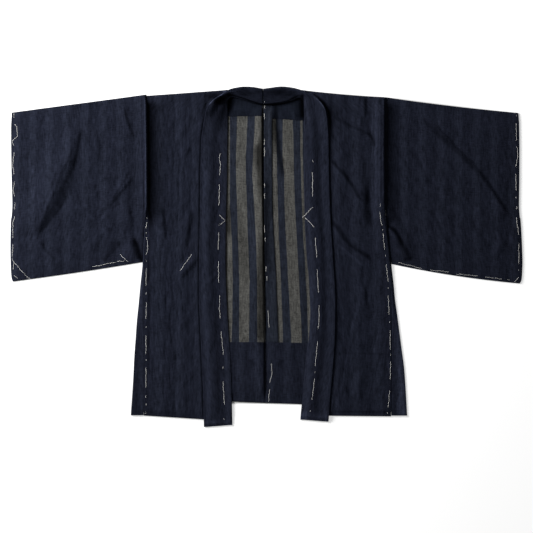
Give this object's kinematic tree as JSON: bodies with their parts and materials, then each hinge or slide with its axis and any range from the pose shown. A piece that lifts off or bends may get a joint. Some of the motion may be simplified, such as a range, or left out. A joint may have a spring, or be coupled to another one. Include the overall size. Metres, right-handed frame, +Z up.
{
  "type": "haori jacket",
  "caption": "Unlined haori jacket laid flat, front side up: open front, flat collar bands, wide square sleeves, side gussets, deep turned-up hem and tacking threads.",
  "frame": {"origin": "on the ground under the middle of the laid-out jacket's bounding box", "axes": "+X towards the wearer's left sleeve, +Y from hem to neck, +Z up out of the front side; the jacket rests on its back panels"},
  "size_m": [1.3294, 0.8845, 0.015],
  "materials": {
    "body_cloth": "matt indigo plain weave with slightly lighter lengthwise stripes; the back's inner face shows broad olive and indigo stripes",
    "collar_cloth": "matt indigo plain weave, doubled, slightly lighter lengthwise stripes",
    "lining_cloth": "matt plain indigo weave"
  },
  "bodies": {
    "root": {"body_right": "body_cloth", "body_left": "body_cloth", "sleeve_right": "body_cloth", "sleeve_left": "body_cloth", "gusset_right": "body_cloth", "gusset_left": "body_cloth", "collar_right": "collar_cloth", "collar_left": "collar_cloth", "yoke_lining_right": "lining_cloth", "yoke_lining_left": "lining_cloth", "centre_back_binding": "lining_cloth"}
  },
  "joints": []
}
